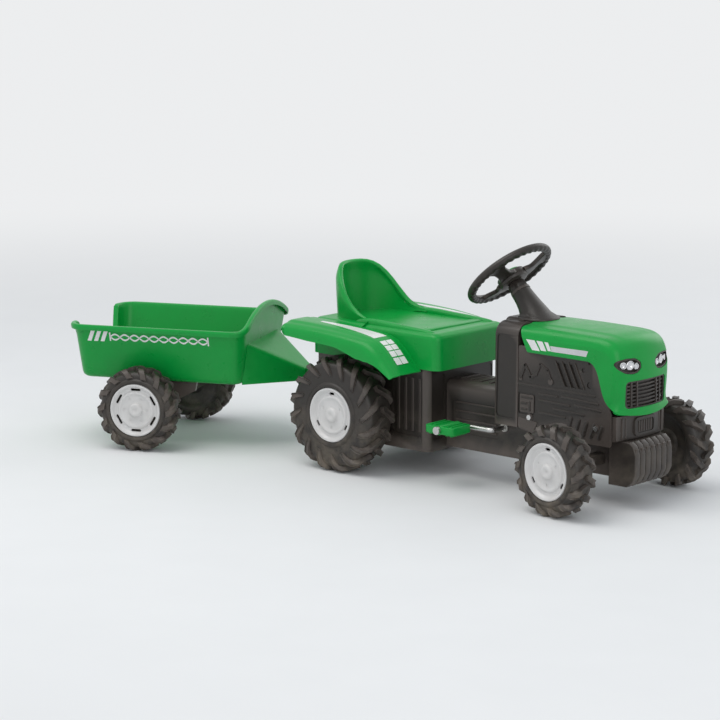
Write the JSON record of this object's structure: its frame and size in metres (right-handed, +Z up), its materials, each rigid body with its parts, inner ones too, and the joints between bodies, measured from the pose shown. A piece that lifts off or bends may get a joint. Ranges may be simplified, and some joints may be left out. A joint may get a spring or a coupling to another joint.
{
  "type": "child's pedal tractor with trailer",
  "caption": "Ride-on pedal tractor for a child, with chain-driven rear wheels, steered front wheels, moulded seat and a hitched open trailer.",
  "frame": {"origin": "on the ground under the middle of the whole vehicle, trailer included", "axes": "+X to the front of the tractor, +Y to its left, +Z up"},
  "size_m": [1.4228, 0.593, 0.4919],
  "materials": {
    "green_plastic": "glossy moulded, bright green",
    "dark_plastic": "satin moulded, warm black",
    "tyre_plastic": "satin blow-moulded, warm black",
    "white_plastic": "satin white to silver",
    "steel_rod": "drawn and zinc plated",
    "chain_steel": "dark oiled",
    "bearing_plastic": "natural, satin",
    "lamp_plastic": "glossy silver and black"
  },
  "bodies": {
    "chassis": {"centre_tunnel": "dark_plastic", "rear_housing": "dark_plastic", "engine_side_left": "dark_plastic", "engine_side_right": "dark_plastic", "dashboard": "dark_plastic", "bonnet": "green_plastic", "grille": "dark_plastic", "headlight_left": "lamp_plastic", "headlight_right": "lamp_plastic", "front_fascia": "dark_plastic", "front_weights": "dark_plastic", "seat_and_fenders": "green_plastic", "column_shroud": "dark_plastic", "steering_bushes": "bearing_plastic", "front_axle_beam": "dark_plastic", "kingpins": "steel_rod", "axle_bushes": "bearing_plastic", "crank_bushes": "bearing_plastic", "body_screws": "steel_rod", "hitch_bracket": "dark_plastic", "drive_chain": "chain_steel"},
    "steering": {"steering_wheel": "dark_plastic", "steering_shaft": "steel_rod"},
    "horn": {"horn_cap": "green_plastic"},
    "tie_rod": {"tie_rod": "steel_rod"},
    "left_knuckle": {"knuckle_left": "dark_plastic", "stub_axle_left": "steel_rod"},
    "right_knuckle": {"knuckle_right": "dark_plastic", "stub_axle_right": "steel_rod"},
    "front_wheel_left": {"front_tyre_left": "tyre_plastic", "front_hub_left": "white_plastic"},
    "front_wheel_right": {"front_tyre_right": "tyre_plastic", "front_hub_right": "white_plastic"},
    "rear_wheels": {"rear_axle": "steel_rod", "axle_sprocket": "chain_steel", "rear_tyre_left": "tyre_plastic", "rear_tyre_right": "tyre_plastic", "rear_hub_left": "white_plastic", "rear_hub_right": "white_plastic", "rear_axle_nuts": "steel_rod"},
    "crank": {"crank_rod": "steel_rod", "crank_sprocket": "chain_steel", "pedal_nuts": "steel_rod"},
    "pedal_left": {"pedal_left": "green_plastic"},
    "pedal_right": {"pedal_right": "green_plastic"},
    "hitch_pin": {"hitch_pin": "dark_plastic"},
    "trailer": {"trailer_tub": "green_plastic", "drawbar": "dark_plastic", "trailer_axle": "steel_rod", "trailer_axle_nuts": "steel_rod", "axle_brackets": "green_plastic"},
    "trailer_wheel_left": {"trailer_tyre_left": "tyre_plastic", "trailer_hub_left": "white_plastic"},
    "trailer_wheel_right": {"trailer_tyre_right": "tyre_plastic", "trailer_hub_right": "white_plastic"}
  },
  "joints": [
    {"name": "steering_turn", "type": "hinge", "parent": "chassis", "child": "steering", "pos_m": [0.33973, 0.0732, 0.424], "axis": [-0.6691, 0, 0.7431], "range_deg": [-19, 33]},
    {"name": "horn_press", "type": "slide", "parent": "steering", "child": "horn", "axis": [-0.6691, 0, 0.7431], "range_m": [-0.003, 0], "stiffness_N_per_m": 400},
    {"name": "tie_rod_slide", "type": "slide", "parent": "chassis", "child": "tie_rod", "axis": [0, 1, 0], "range_m": [-0.02816, 0.01642]},
    {"name": "left_kingpin_turn", "type": "hinge", "parent": "chassis", "child": "left_knuckle", "pos_m": [0.61273, 0.2032, 0.09], "axis": [0, 0, 1], "range_deg": [-19, 33]},
    {"name": "right_kingpin_turn", "type": "hinge", "parent": "chassis", "child": "right_knuckle", "pos_m": [0.61273, -0.0568, 0.09], "axis": [0, 0, 1], "range_deg": [-19, 33]},
    {"name": "front_left_roll", "type": "hinge", "parent": "left_knuckle", "child": "front_wheel_left", "pos_m": [0.61956, 0.25878, 0.09], "axis": [0.1219, 0.9925, 0], "continuous": true},
    {"name": "front_right_roll", "type": "hinge", "parent": "right_knuckle", "child": "front_wheel_right", "pos_m": [0.60591, -0.11239, 0.09], "axis": [0.1219, 0.9925, 0], "continuous": true},
    {"name": "rear_axle_turn", "type": "hinge", "parent": "chassis", "child": "rear_wheels", "pos_m": [0.02873, 0.0732, 0.12], "axis": [0, 1, 0], "continuous": true},
    {"name": "crank_turn", "type": "hinge", "parent": "chassis", "child": "crank", "pos_m": [0.37154, 0.0732, 0.12], "axis": [0, 1, 0], "continuous": true},
    {"name": "left_pedal_spin", "type": "hinge", "parent": "crank", "child": "pedal_left", "pos_m": [0.45154, 0.2052, 0.12], "axis": [0, 1, 0], "continuous": true},
    {"name": "right_pedal_spin", "type": "hinge", "parent": "crank", "child": "pedal_right", "pos_m": [0.29154, -0.0588, 0.12], "axis": [0, 1, 0], "continuous": true},
    {"name": "hitch_pin_lift", "type": "slide", "parent": "chassis", "child": "hitch_pin", "axis": [0, 0, 1], "range_m": [0, 0.06]},
    {"name": "trailer_swing", "type": "hinge", "parent": "chassis", "child": "trailer", "pos_m": [-0.16487, 0.0732, 0.155], "axis": [0, 0, 1], "range_deg": [-70, 20]},
    {"name": "trailer_left_roll", "type": "hinge", "parent": "trailer", "child": "trailer_wheel_left", "pos_m": [-0.56794, 0.07392, 0.09], "axis": [-0.4226, 0.9063, 0], "continuous": true},
    {"name": "trailer_right_roll", "type": "hinge", "parent": "trailer", "child": "trailer_wheel_right", "pos_m": [-0.4234, -0.23604, 0.09], "axis": [-0.4226, 0.9063, 0], "continuous": true}
  ],
  "couplings": [
    {"joint": "tie_rod_slide", "follows": "steering_turn", "m_per_rad": -0.04802},
    {"joint": "left_kingpin_turn", "follows": "steering_turn", "ratio": 1},
    {"joint": "right_kingpin_turn", "follows": "steering_turn", "ratio": 1},
    {"joint": "crank_turn", "follows": "rear_axle_turn", "ratio": 0.8}
  ]
}
